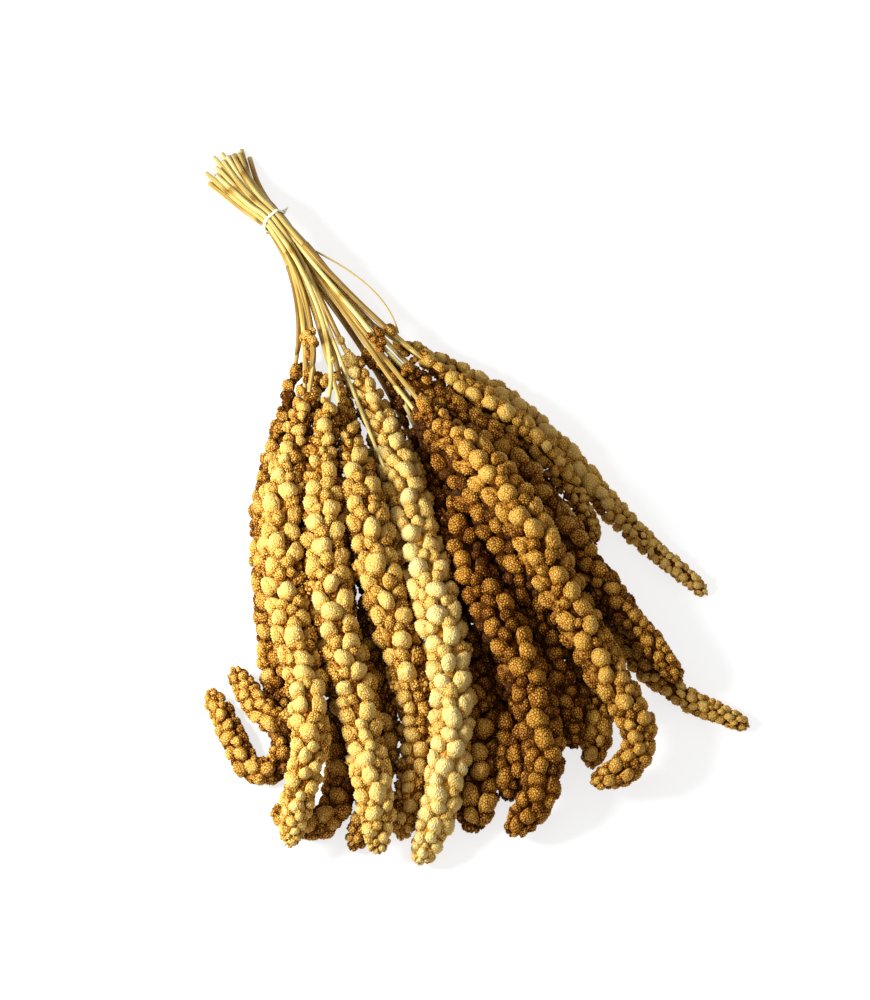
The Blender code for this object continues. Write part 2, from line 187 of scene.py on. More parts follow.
# %% [markdown]
# The frame holds each ear as plain solids: a rod for its stem, and a head whose corners stand out where
# a cluster of grain sits. What is made here follows the same lines, so the lines are read back from the
# solids. Typing them in again would work too, but then the dressing would stay behind whenever a solid
# changes. A rod is easy to read: corners that sit close together are one ring, and the middle of each
# ring is a point of its line.

# %% Corners of a node, and the line of a rod
# corners of one ring of a rod are less than this apart, in mm, and the next ring is further off
RING_STEP = 3.2


def corners_of(node):
    """Corner places of a node in mm, each once, and the corners that each one shares an edge with."""
    mesh = frame["nodes"][node].data
    places = np.zeros(len(mesh.vertices) * 3)
    mesh.vertices.foreach_get("co", places)
    places, same = np.unique(np.round(places.reshape(-1, 3) / MM, 2), axis=0, return_inverse=True)
    same = same.ravel()
    near = [set() for _ in places]
    for edge in mesh.edges:
        a, b = (int(same[v]) for v in edge.vertices)
        if a != b:
            near[a].add(b)
            near[b].add(a)
    return places, near


def rod_line(node):
    """Middle of each ring of a rod, in no order, in mm."""
    places, near = corners_of(node)
    left, rings = set(range(len(places))), []
    while left:
        ring, edge = set(), [left.pop()]
        while edge:
            here = edge.pop()
            ring.add(here)
            edge += [n for n in near[here]
                     if n in left and np.linalg.norm(places[n] - places[here]) < RING_STEP]
            left -= set(edge)
        rings.append(places[list(ring)].mean(0))
    return np.array(rings)


stem_lines = {}
for name in STEMS:
    rings = rod_line(name)
    main = np.linalg.svd(rings - rings.mean(0))[2][0]
    # from the cut end at the back of the table to the head in front
    forward = main if main[1] < 0 else -main
    stem_lines[name] = rings[np.argsort((rings - rings.mean(0)) @ forward)]
print("rings of the first stem", len(stem_lines["stem_01"]))

# %% [markdown]
# A head has no neat rings, so its line is found by counting. From the corner at its foot, each step
# along the edges reaches the next row of corners, and the middle of a few rows is a point of the line.
# Counting edges, and not millimetres, keeps the rows square to the line where a head curls back on
# itself, as two ears of this bunch do.

# %% Helpers for lines
def smooth(points, times):
    """Softens a chain of points; its ends stay."""
    points = points.copy()
    for _ in range(times):
        points[1:-1] = 0.25 * points[:-2] + 0.5 * points[1:-1] + 0.25 * points[2:]
    return points


def runs_of(line):
    """How far along a line each of its points is."""
    return np.concatenate([[0], np.cumsum(np.linalg.norm(np.diff(line, axis=0), axis=1))])


def ways_of(line):
    """The direction of a line at each of its points."""
    way = np.gradient(line, axis=0)
    return way / np.linalg.norm(way, axis=1)[:, None]


bent = np.array([[0, 0, 0], [3, 0, 0], [3, 4, 0.0]])
print("length of a bent line of 3 mm and 4 mm", runs_of(bent)[-1])


# %% Find the line of a head
def head_line(places, near, foot):
    """Points of a head's line from its foot to its tip."""
    row = np.full(len(places), -1)
    row[foot], edge = 0, [foot]
    while edge:
        following = []
        for here in edge:
            for n in near[here]:
                if row[n] < 0:
                    row[n] = row[here] + 1
                    following.append(n)
        edge = following
    last = row.max()
    line = [places[foot]]
    for k in range(2, last - 1):
        line.append(places[(row >= k - 1) & (row <= k + 1)].mean(0))
    line.append(places[row == last].mean(0))
    return smooth(np.array(line), 3)


def along_line(line, step):
    """The same line with points a step apart, and the direction at each."""
    run = runs_of(line)
    at = np.linspace(0, run[-1], max(3, round(run[-1] / step)) + 1)
    fine = np.stack([np.interp(at, run, line[:, k]) for k in range(3)], axis=1)
    fine = smooth(fine, 2)
    return fine, ways_of(fine)


print("points on 30 mm in steps of 3 mm", len(along_line(np.array([[0, 0, 0], [30, 0, 0.0]]), 3.0)[0]))

# %% [markdown]
# Clusters also need to know which way is outward, and how thick the head is there. A pair of directions
# across the line is carried along it with as little turning as possible, which avoids the sudden flips
# that a fixed upward direction gives. The corners that stand out more than their neighbours are where
# the solid has a cluster, and how far they are from the line is the reach of the head there.

# %% Read a head
LINE_STEP = 3.0
# a corner counts as the top of a cluster when it is this far out, and this far from other tops, in mm
LEAST_REACH = 3
LEAST_APART = 4.5


def carried(way):
    """Two directions across a line at each of its points, turning as little as possible along it."""
    side, sides = np.cross(way[0], [0, 0, 1.0]), []
    for direction in way:
        side = side - direction * (side @ direction)
        side /= np.linalg.norm(side)
        sides.append(side)
    return np.array(sides), np.cross(way, sides)


def read_head(head, stem):
    """Line of a head, its direction, and the corners that stand out with how far each one reaches."""
    places, near = corners_of(head)
    foot = int(np.argmin(np.linalg.norm(places - stem_lines[stem][-1], axis=1)))
    line, way = along_line(head_line(places, near, foot), LINE_STEP)
    reach = np.linalg.norm(places[:, None] - line[None], axis=2).min(1)
    proud = np.array([reach[k] - np.mean([reach[n] for n in near[k]]) for k in range(len(places))])
    tops = []
    for k in np.argsort(-proud):
        if proud[k] > -0.3 and reach[k] > LEAST_REACH and not near[k] & set(tops):
            if all(np.linalg.norm(places[k] - places[t]) > LEAST_APART for t in tops):
                tops.append(int(k))
    return line, way, places[tops], reach[tops]


heads = {name: read_head(name, stem) for name, stem in zip(HEADS, STEMS)}
print("length of each head in mm", [round(float(runs_of(head[0])[-1])) for head in heads.values()])

# %% [markdown]
# A real ear swells and narrows along its length and closes in a blunt point. Between the corners that
# were found the reach is a mean of those near by, and at the end it follows a quarter of a circle.

# %% How wide a head is
# clusters stand out past the flat faces of the solid, between its corners
FULLER = 1.13
# the tip closes over this many times the reach, to this share of it
TIP_LENGTH = 1.5
TIP_SHARE = 0.36


def width_at(name, spots, run_left):
    """Reach over the clusters near some spots, less where the tip closes."""
    _, _, tops, top_reach = heads[name]
    weight = 1 / (((spots[:, None] - tops[None]) ** 2).sum(2) + 9) ** 2
    reach = (weight * top_reach).sum(1) / weight.sum(1)
    inside = np.clip(run_left / (TIP_LENGTH * reach), 0, 1)
    return FULLER * reach * np.maximum(np.sqrt(1 - (1 - inside) ** 2), TIP_SHARE)


middle_of_first = heads["head_01"][0][30:31]
print("reach in the middle of the first head in mm", width_at("head_01", middle_of_first, 60.0).round(1))

# %% [markdown]
# A cluster is a lobed ball of a few dozen grains, each nearly two millimetres across. Placing a small
# sphere for each grain would take millions of triangles. A ball of plain triangles can be turned into
# grains with one trick: put a corner on each grain, add a corner in the middle of every triangle and
# push it inward, then flip the first edges. Each grain becomes a small cone of six triangles with a gap
# round it. Only the outer side of a ball is seen, so the inner side is a bare cone that ends near the
# stem of the head.

# %% Lobes of a cluster
# a few small balls round one in the middle, which together reach about 1
LOBE_OFF = 0.36
LOBE_RADIUS = 0.66
MIDDLE_RADIUS = 0.86
FOLD_WIDTH = 0.05


def lobed(rng):
    """The rule of one cluster's outline, which is the furthest of some smaller balls."""
    lobes = rng.normal(0, 1, (rng.integers(3, 6), 3)) * [1, 1, 0.7] + [0, 0, 0.35]
    lobes /= np.linalg.norm(lobes, axis=1)[:, None]
    shift = Vector(rng.uniform(-50, 50, 3))

    def bulge(spot):
        """How far the cluster reaches along a direction, and how deep the fold between lobes is there."""
        along = lobes @ np.array(spot)
        far = LOBE_OFF * along
        far += np.sqrt(np.maximum(LOBE_RADIUS ** 2 - LOBE_OFF ** 2 * (1 - along ** 2), 0))
        ends = np.sort(np.append(far, MIDDLE_RADIUS))
        uneven = 1 + 0.05 * noise.noise(spot * 2.2 + shift)
        return ends[-1] * uneven, max(0.0, 1 - (ends[-1] - ends[-2]) / FOLD_WIDTH)

    return bulge


print("reach of a cluster outward", round(float(lobed(np.random.default_rng(1))(Vector((0, 0, 1)))[0]), 2))


# %% Places of the grains
# the grains cover a little more than the outer half of a ball
OUTER_SHARE = 0.52
GOLDEN_TURN = math.pi * (1 + 5 ** 0.5)


def grain_spots(grains, rng):
    """Directions of the grains on the outer side of a ball, evenly spread and then shaken a little."""
    k = np.arange(int(grains / OUTER_SHARE)) + 0.5
    z = 1 - 2 * k / len(k)
    turn = GOLDEN_TURN * k + rng.uniform(0, 6.28)
    flat = np.sqrt(1 - z * z)
    spots = np.stack([flat * np.cos(turn), flat * np.sin(turn), z], axis=1)
    pitch = math.sqrt(4 * math.pi / len(k))
    spots += rng.normal(0, 0.13 * pitch, spots.shape)
    spots /= np.linalg.norm(spots, axis=1)[:, None]
    # the ball is seen further round along the head (x) than across it (y)
    side = np.abs(spots[:, 1]) / np.maximum(np.hypot(spots[:, 0], spots[:, 1]), 1e-6)
    return spots[spots[:, 2] > np.cos(np.radians(106 - 24 * side))]


print("grains on a ball meant for 36", len(grain_spots(36, np.random.default_rng(1))))

# %% Balls of grain
BALL_SIZES = (10, 16, 24, 36, 50, 68, 90)
BALLS_OF_EACH = 6


def grain_ball(grains, seed):
    """A ball of grain of radius 1, outward along z: places, faces, and how proud each corner is."""
    rng = np.random.default_rng(seed)
    bm = bmesh.new()
    for spot in grain_spots(grains, rng):
        bm.verts.new(spot)
    base = bm.verts.new((0, 0, -1.1))
    bmesh.ops.convex_hull(bm, input=bm.verts[:])
    outer = [face for face in bm.faces if base not in face.verts]
    ridges = [edge for edge in bm.edges if all(base not in face.verts for face in edge.link_faces)]
    tops = [vert for vert in bm.verts if vert is not base]
    poked = bmesh.ops.poke(bm, faces=outer, center_mode="MEAN")["verts"]
    bmesh.ops.rotate_edges(bm, edges=ridges, use_ccw=False)
    bmesh.ops.recalc_face_normals(bm, faces=bm.faces[:])
    bulge = lobed(rng)
    proud = {base: 0.0}
    for vert in tops:
        high = rng.uniform(0.0, 1.0)
        size, fold = bulge(vert.co)
        vert.co *= size * (0.97 + 0.06 * high)
        # a corner in the fold between two lobes is less proud, and so painted darker, as shade
        proud[vert] = 0.85 + 0.15 * high - 0.22 * fold
    for vert in poked:
        vert.co *= bulge(vert.co.normalized())[0] * 0.90
        # the corner in the gap between grains is the least proud: brown chaff there, painted darker still as
        # shade
        proud[vert] = 0.0
    bm.verts.index_update()
    places = np.array([vert.co for vert in bm.verts])
    faces = np.array([[vert.index for vert in face.verts] for face in bm.faces])
    level = np.array([proud[vert] for vert in bm.verts])
    bm.free()
    return places, faces, level


KINDS = {size: [grain_ball(size, 100 * size + k) for k in range(BALLS_OF_EACH)] for size in BALL_SIZES}
print("triangles in a ball", {size: len(kind[0][1]) for size, kind in KINDS.items()})

# %% [markdown]
# Clusters deep in the pile are hardly seen, and shade falls on them. Rays sent out from
# each cluster tell how much of the sky it sees. Painting the shade by hand would be the other way, but
# that one number does it for every ear: it picks how many grains a cluster gets and how dark they are
# painted, as shade.

# %% How open each cluster lies
RAYS = 64
GOLDEN_ANGLE = 2.39996
# how far a ray looks for another ear, in metres
RAY_LENGTH = 0.12


def solid_tree(names):
    """The solids of some nodes as one tree that rays can be cast at."""
    places, faces = [], []
    for name in names:
        mesh = frame["nodes"][name].data
        start = len(places)
        places += [tuple(vert.co) for vert in mesh.vertices]
        faces += [[v + start for v in face.vertices] for face in mesh.polygons]
    return BVHTree.FromPolygons(places, faces)


ears = solid_tree(HEADS)
k = np.arange(RAYS) + 0.5
sky_z = 1 - 2 * k / RAYS
sky_flat = np.sqrt(1 - sky_z ** 2)
SKY = np.stack([sky_flat * np.cos(k * GOLDEN_ANGLE), sky_flat * np.sin(k * GOLDEN_ANGLE), sky_z], axis=1)


def openness(top, out):
    """Share of the directions in front of a cluster that meet no ear and no table."""
    start = Vector((top + out * 1.0) * MM)
    seen = total = 0.0
    for ray in SKY:
        weight = float(ray @ out)
        if weight > 0.15:
            total += weight
            if ray[2] > -0.05 and ears.ray_cast(start, Vector(ray), RAY_LENGTH)[0] is None:
                seen += weight
    return seen / total


print("sky seen from high over the bunch", round(openness(np.array([0, 0, 100.0]), np.array([0, 0, 1.0])), 2))

# %% [markdown]
# On a real ear the clusters press against each other with little room left, and no two are alike. A
# regular spiral of them looks like a machine made it. So they are thrown at the ear at random, large
# ones first, and each one stays only where there is room, which packs them as closely as growth does.
# The later throws are small ones that sit deeper. They fill the gaps and are painted darker, as shade
# falls there.

# %% Throw clusters at a head
THROWS = 6500
FIRST_DEEP_THROW = 3000
# the radius of a cluster over the reach of the head, less near the tip, and its limits in mm
CLUSTER_SHARE = 0.48
SMALLEST, LARGEST = 1.8, 6.3
# near the foot the clusters are as large as higher up, only fewer
FOOT_RADIUS = 4.3
# an ear that lies is pressed wider low at its sides, three in the middle of the pile more than others
PRESSED, PRESSED_MIDDLE = 0.26, 0.42
MIDDLE_EARS = (11, 12, 13)
# the two ears at the bottom of the pile are spread by the weight on them
BOTTOM_EARS = (0, 1)
SPREAD = 1.2


def thrown(number, name, rng):
    """Places on a head where a cluster could sit, as a dictionary of arrays with a row for each throw."""
    line, way, _, _ = heads[name]
    side, up = carried(way)
    total = np.linalg.norm(np.diff(line, axis=0), axis=1).sum()
    at = rng.uniform(0, len(line) - 1, THROWS)
    k = at.astype(int)
    t = (at - k)[:, None]
    middle = line[k] * (1 - t) + line[k + 1] * t
    angle = rng.uniform(0, 2 * math.pi, (THROWS, 1))
    out = np.cos(angle) * side[k] + np.sin(angle) * up[k]
    share = at / (len(line) - 1)
    reach = width_at(name, middle + 8 * out, (1 - share) * total)
    low = np.clip(0.3 - out[:, 2], 0, 1) * np.clip((out[:, 2] + 0.95) / 0.4, 0, 1)
    low *= np.clip((0.9 - share) / 0.2, 0, 1)
    pressed = PRESSED_MIDDLE if number in MIDDLE_EARS else PRESSED
    reach *= (1 + pressed * low) * (SPREAD if number in BOTTOM_EARS else 1.0)
    fine = np.clip((share - 0.5) / 0.45, 0, 1)
    radius = np.maximum(reach * (CLUSTER_SHARE - 0.09 * fine), np.where(share < 0.2, FOOT_RADIUS, 0))
    radius = np.clip(radius * rng.uniform(0.76, 1.22, THROWS), SMALLEST, LARGEST)
    centre = middle + out * np.maximum(reach - radius, 0.5)[:, None]
    # the least distance of two clusters, over the sum of their radii
    room = 0.78 - 0.16 * fine
    deep = np.arange(THROWS) >= FIRST_DEEP_THROW
    radius[deep] *= 0.75
    centre[deep] = (middle + out * np.maximum(0.88 * reach - radius, 0.5)[:, None])[deep]
    room[deep] = 0.62
    return dict(out=out, way=way[k], radius=radius, middle=middle, reach=reach, share=share,
                centre=centre, deep=deep.astype(float)), room


print("throws at each head", THROWS)


# %% Keep the throws that find room
def tip_cluster(number, name):
    """The one ball that closes the tip of a head."""
    line, way, tops, top_reach = heads[name]
    nearest = np.argsort(np.linalg.norm(tops - line[-1], axis=1))[:4]
    radius = 0.36 * top_reach[nearest].mean() + 0.6
    return dict(head=number, out=way[-1], way=carried(way)[0][-1], radius=radius,
                middle=line[-1] - way[-1] * 2 * radius, reach=2 * radius, share=1.0,
                centre=line[-1] - way[-1] * radius * 0.95, deep=0.0)


def scatter(number, name):
    """The clusters of a head, which are the throws that found room, large ones first."""
    rng = np.random.default_rng(500 + number)
    throws, room = thrown(number, name, rng)
    radius, centre = throws["radius"], throws["centre"]
    turn = throws["deep"] * 9 - radius / throws["reach"] + rng.uniform(0, 0.05, THROWS)
    kept = []
    for n in np.argsort(turn):
        far = np.linalg.norm(centre[kept] - centre[n], axis=1)
        if (far > room[n] * (radius[kept] + radius[n])).all():
            kept.append(n)
    found = [dict(head=number, **{label: column[n] for label, column in throws.items()}) for n in kept]
    return found + [tip_cluster(number, name)]


clusters = [cluster for number, name in enumerate(HEADS) for cluster in scatter(number, name)]
radii = [cluster["radius"] for cluster in clusters]
print("clusters", len(clusters), "radius in mm", np.round(np.percentile(radii, [5, 50, 95]), 1))

# %% [markdown]
# Where a head begins, its first clusters stand apart along the stem, and on some stems a small tuft grew
# a few centimetres below the rest. They soften the step from the bare straw to the full head. The two
# ears at the bottom of the pile begin thinly, far up their stems, and fill the dark gap between others.

# %% Stray clusters on the stems
# where a tuft sits, in mm from the foot of its head
TUFTS = {"head_04": 9, "head_07": 19, "head_09": 30, "head_12": 35, "head_13": 17, "head_17": 24}
TUFT_CLUSTERS = 6


def strays(number, head, stem):
    """Small clusters that sit on a stem before its head begins."""
    rng = np.random.default_rng(700 + number)
    line = along_line(stem_lines[stem], 2.0)[0][::-1]
    way = ways_of(line)
    side, up = carried(way)
    far, count, least = (125, 46, 3.2) if number in BOTTOM_EARS else (30, int(rng.integers(2, 5)), 2.2)
    places = [3 + far * rng.uniform(0, 1) ** 1.3 for _ in range(count)]
    places += [TUFTS[head] + rng.uniform(-5, 5) for _ in range(TUFT_CLUSTERS)] if head in TUFTS else []
    found = []
    for from_foot in places:
        angle, size = rng.uniform(0, 2 * math.pi), rng.uniform(least, least + 1.8)
        k = min(int(from_foot / 2), len(line) - 1)
        out = math.cos(angle) * side[k] + math.sin(angle) * up[k]
        centre = line[k] + out * (1.2 + 0.6 * size)
        found.append(dict(head=number, out=out, way=-way[k], radius=size, middle=line[k],
                          reach=1.2 + 1.6 * size, share=-0.05, centre=centre, deep=0.0))
    return found


for number, (name, stem) in enumerate(zip(HEADS, STEMS)):
    clusters += strays(number, name, stem)
print("with strays", len(clusters))

# %% [markdown]
# Ears of one field differ. Some are pale straw, some amber, and the oldest grain, near the foot of an
# ear, is brown. Every cluster gets a shade of its own on top of that, because a head of one colour looks
# like plastic. The values are only numbers here, and the material turns them into colours later.

# %% Shade of each cluster
# how ripened each ear is, from pale straw at 0 to amber at 1, with painted shade and light on top:
# ears that lie in the shade of others are set darker, up to 1.4, and the ear at the front paler, below 0
RIPE_AND_SHADE = (0.8, 1.0, 0.5, 0.6, 0.9, 0.6, 0.6, 0.8, 1.3, 1.4, 0.9, 0.1, 0.1, 0.0, 0.7, 0.9, 1.0, -1.1)
# painted light: ears that lie far from the middle of the pile, where more light reaches them, are
# painted brighter
EAR_PAINTED_LIGHT = (0, 0, 0, 0, 1.2, 0, 0, 1.8, 0, 0, 0.8, 0.3, 0.3, 0.3, 2.4, 1.8, 0.2, 0.4)
# the part of a head from its foot that is old
OLD_SHARE = 0.14

for number, cluster in enumerate(clusters):
    rng = np.random.default_rng(3000 + number)
    surface = cluster["centre"] + cluster["out"] * cluster["radius"]
    old = max(0.0, 1 - max(0.0, cluster["share"]) / OLD_SHARE)
    # painted shade and light: clusters that sit deep are darker, and some ears are lighter, by the table of
    # painted light above
    shade = rng.uniform(0, 1) - 1.1 * old - 1.2 * cluster["deep"] + EAR_PAINTED_LIGHT[cluster["head"]]
    seed = int(rng.integers(1 << 30))
    cluster.update(tint=shade, seed=seed, open=openness(surface, cluster["out"]))
opens = [cluster["open"] for cluster in clusters]
print("open", np.round(np.percentile(opens, [10, 30, 50, 70, 90]), 2))

# %% [markdown]
# Now a ball of grain is put where each cluster sits. It is stretched a little along the head, leans
# towards the tip as real clusters do, and is turned a little, so that six balls of each size are enough.
# Each of its corners also gets painted values: how proud it is, how deep in a crease, its shade, how open
# it lies and how ripened the ear is. The crease and the openness, and part of the others, paint shade
# in the material. Values on the mesh survive an export and cost no picture.

# %% Creases between clusters
NEIGHBOURS = 11

near_centre = kdtree.KDTree(len(clusters))
for number, cluster in enumerate(clusters):
    near_centre.insert(Vector(cluster["centre"]), number)
near_centre.balance()


def crease_at(number, world):
    """How near each corner is to the clusters around, from 0 in the open to 1 where they touch."""
    cluster = clusters[number]
    gap = np.full(len(world), 9.0)
    for _, other, far in near_centre.find_n(Vector(cluster["centre"]), NEIGHBOURS):
        if other != number and far < 3.2 * cluster["radius"]:
            away = np.linalg.norm(world - clusters[other]["centre"], axis=1) - clusters[other]["radius"]
            gap = np.minimum(gap, away)
    off = world - cluster["middle"]
    off -= np.outer(off @ cluster["way"], cluster["way"])
    depth = np.clip((np.linalg.norm(off, axis=1) / cluster["reach"] - 0.5) / 0.5, 0, 1)
    # the crease paints shade: darker where clusters touch and deeper towards the line of the head
    return np.maximum(np.clip(1 - gap / (0.45 * cluster["radius"]), 0, 1), 1 - depth)


print("crease at the middle of the first cluster", crease_at(0, clusters[0]["centre"][None]).round(2))

# %% Build one cluster
# how far apart the grains are, in mm
GRAIN_PITCH = 1.75


def place_cluster(number):
    """Places, faces and the five painted values of a cluster."""
    cluster = clusters[number]
    rng = np.random.default_rng(cluster["seed"])
    # clusters that are hardly seen get fewer and larger grains
    detail = 1.0 if cluster["open"] > 0.10 else 0.6 if cluster["open"] > 0.03 else 0.3
    wanted = detail * 2 * math.pi * (cluster["radius"] / GRAIN_PITCH) ** 2 * 1.2
    kinds = KINDS[min(KINDS, key=lambda size: abs(size - wanted))]
    places, faces, level = kinds[rng.integers(len(kinds))]
    lean = cluster["out"] + cluster["way"] * (0.25 + rng.uniform(-0.2, 0.2))
    lean /= np.linalg.norm(lean)
    along = cluster["way"] - lean * (cluster["way"] @ lean)
    along /= np.linalg.norm(along)
    across = np.cross(lean, along)
    flip = rng.choice([-1.0, 1.0])
    twist = rng.uniform(-0.7, 0.7)
    along, across = (math.cos(twist) * along + math.sin(twist) * across,
                     math.cos(twist) * across - math.sin(twist) * along)
    local = places * (cluster["radius"] * np.array([rng.uniform(0.96, 1.30), rng.uniform(0.88, 1.04), 1.0]))
    # the inner cone runs nearly to the stem of the head
    local[places[:, 2] < -1.05, 2] = -0.9 * (cluster["reach"] - cluster["radius"])
    world = cluster["centre"] + flip * local[:, :1] * along + flip * local[:, 1:2] * across
    world += local[:, 2:] * lean
    same_all_over = [cluster["tint"], cluster["open"], RIPE_AND_SHADE[cluster["head"]]]
    painted = [level, crease_at(number, world)] + [np.full(len(world), value) for value in same_all_over]
    return world, faces, painted


print("corners of the first cluster", len(place_cluster(0)[0]))

# %% [markdown]
# The grain is ripened foxtail millet: a hard, smooth hull with a thin natural wax, grown and air-dried,
# so it has a dull shine, straw yellow to amber, and brown chaff where grains meet. The gaps between
# grains are painted darker still, and so are the creases between clusters and the clusters deep in the
# pile: that is painted shade. The nodes mix what the mesh carries with a cell pattern for the speckle of
# single grains. Two colour ramps run from the dark gaps to the pale tops of grains, one for pale ears and
# one for amber ones, and how ripened the ear is mixes them. A picture of grain would be quicker, but it
# would repeat and smear on balls.

# %% Millet grain, waxy hulls
# a grain is 1.5 to 2 mm across and is in the mesh; the speckle on it is a little finer than a grain
SPECKLE_MM = 1.25
# how deep the pattern presses into a hull
SPECKLE_DEPTH_MM = 0.45

# wax and husk bend light by 1.45 to 1.5, and a dry hull is rather matt
grain_material, grain_shader = new_material("millet grain, waxy hulls", {"Roughness": 0.55, "IOR": 1.45})
where = add_node(grain_material, "TexCoord")
grains = add_node(grain_material, "TexVoronoi", {"Scale": 1 / (SPECKLE_MM * MM), "Randomness": 0.9},
                  {"Vector": (where, "Object")})
proud, crease, tint, sky, ripe = (add_node(grain_material, "Attribute", {"attribute_name": label})
                                  for label in ("proud", "crease", "tint", "open", "ripe"))
top = add_node(grain_material, "MapRange", {"From Min": 0.0, "From Max": 0.5}, {"Value": (proud, "Fac")})
spot = add_node(grain_material, "MapRange",
                {"From Min": 0.65, "From Max": 0.15, "To Min": 0.0, "To Max": 1.0},
                {"Value": (grains, "Distance")})
single = add_node(grain_material, "SeparateColor", {}, {"Color": (grains, "Color")})
# painted shade: the tone is darker in creases, where a cluster sees little sky and in the gaps between
# grains; the tint and the ripeness carry painted shade and light too
tone = weigh(grain_material, [
    (top, "Result", 0.42, 0.18), (spot, "Result", 0.30, -0.105), (crease, "Fac", -0.34, 0.0),
    (tint, "Fac", 0.14, -0.07), (single, "Red", 0.16, -0.08), (sky, "Fac", 0.30, -0.06),
    (ripe, "Fac", -0.16, 0.09)])
pale_colour = add_node(grain_material, "ValToRGB", {"stops": [
    (0.0, "#42230A"), (0.18, "#7E480E"), (0.36, "#C28833"), (0.56, "#D4AC57"), (0.76, "#D6B66B"),
    (1.0, "#DAC388")]}, {"Fac": (tone, 0)})
amber_colour = add_node(grain_material, "ValToRGB", {"stops": [
    (0.0, "#3A1E07"), (0.18, "#5E320A"), (0.36, "#985C18"), (0.56, "#BC8630"), (0.76, "#CC9F48"),
    (1.0, "#D8B468")]}, {"Fac": (tone, 0)})
grain_colour = add_node(grain_material, "MixRGB", {}, {
    "Fac": (ripe, "Fac"), "Color1": (pale_colour, "Color"), "Color2": (amber_colour, "Color")})
grain_bump = add_node(grain_material, "Bump", {"Strength": 0.8, "Distance": SPECKLE_DEPTH_MM * MM},
                      {"Height": (spot, "Result")})
# the wax shines on the outer side of a grain; chaff between the grains is dull
shine = weigh(grain_material, [(top, "Result", 0.34, -0.04), (crease, "Fac", -0.24, 0.0)])
shine = add_node(grain_material, "Clamp", {}, {"Value": (shine, 0)})
feed(grain_material, grain_shader, {
    "Base Color": (grain_colour, "Color"), "Normal": (grain_bump, "Normal"),
    "Specular IOR Level": (shine, "Result")})
print("speckle, cells each mm", round(1 / SPECKLE_MM, 2))

# %% [markdown]
# Every piece is made the same way: places and faces go into a mesh, painted values go on its corners,
# the piece is hung on the body it moves with, it takes its finish, and the solid it stands for is hidden.
# Hundreds of small objects would look the same, but one mesh for an ear is lighter and stays together.
# Round things, such as stems, are turned along a line.

# %% Helpers for meshes
# how far a piece stays inside the frame's box, in mm
MARGIN = 0.05


def make_piece(name, node, material, places, faces, values):
    """A smooth piece from places in mm that stands for a node, with its painted values."""
    low, high = (np.array(corner) / MM for corner in cad_box)
    places = np.clip(places, low + MARGIN, high - MARGIN)
    mesh = bpy.data.meshes.new(name)
    mesh.from_pydata((places * MM).tolist(), [], faces)
    mesh.shade_smooth()
    for label, value in values.items():
        mesh.attributes.new(label, "FLOAT", "POINT").data.foreach_set("value", np.asarray(value, np.float32))
    mesh.materials.append(material)
    piece = bpy.data.objects.new(name, mesh)
    bpy.context.scene.collection.objects.link(piece)
    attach(piece, BODY)
    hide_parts(node)
    return piece


def joined(parts):
    """Places and faces of some parts as one mesh."""
    faces, count = [], 0
    for places, part_faces in parts:
        faces += [tuple(v + count for v in face) for face in part_faces]
        count += len(places)
    return np.concatenate([places for places, _ in parts]), faces


print("corners of two joined triangles", len(joined([(np.eye(3), [(0, 1, 2)])] * 2)[0]))


# %% A rod along a line
def turned(line, sides, radii, hollow=False):
    """A round rod along a line: places, faces, and which point of the line each place belongs to."""
    way = ways_of(line)
    side = np.cross(way[0], [0, 0, 1.0])
    angle = 2 * math.pi * np.arange(sides) / sides
    rings = []
    for k in range(len(line)):
        side = side - way[k] * (side @ way[k])
        side /= np.linalg.norm(side)
        up = np.cross(way[k], side)
        rings.append(line[k] + radii[k] * (np.cos(angle)[:, None] * side + np.sin(angle)[:, None] * up))
    which = list(range(len(line)))
    if hollow:
        # the hole is half as wide as the stalk and 2 mm deep
        rim = rings[0] - line[0]
        rings = [line[0] + 0.5 * rim + 2.0 * way[0], line[0] + 0.58 * rim] + rings
        which = [0, 0] + which
    faces = []
    for k in range(len(rings) - 1):
        a, b = k * sides, (k + 1) * sides
        faces += [(a + n, a + (n + 1) % sides, b + (n + 1) % sides, b + n) for n in range(sides)]
    faces += [tuple(range(sides))[::-1], tuple(range((len(rings) - 1) * sides, len(rings) * sides))]
    return np.concatenate(rings), faces, np.repeat(which, sides)


rod = turned(np.array([[0, 0, 0], [5.0, 0, 0], [10.0, 0, 0]]), 8, [1, 1, 1])
print("a rod of 8 sides and 2 steps has", len(rod[0]), "corners and", len(rod[1]), "faces")

# %% [markdown]
# An ear is a thin core, the stem of the head with its short branches, and the clusters round it. The
# core hardly shows, but without it one could look right through the ear between two clusters. All of
# it becomes one mesh, which stands for the solid of the head.

# %% Heads of grain
CORE_SIDES = 10
PAINTED = ("proud", "crease", "tint", "open", "ripe")

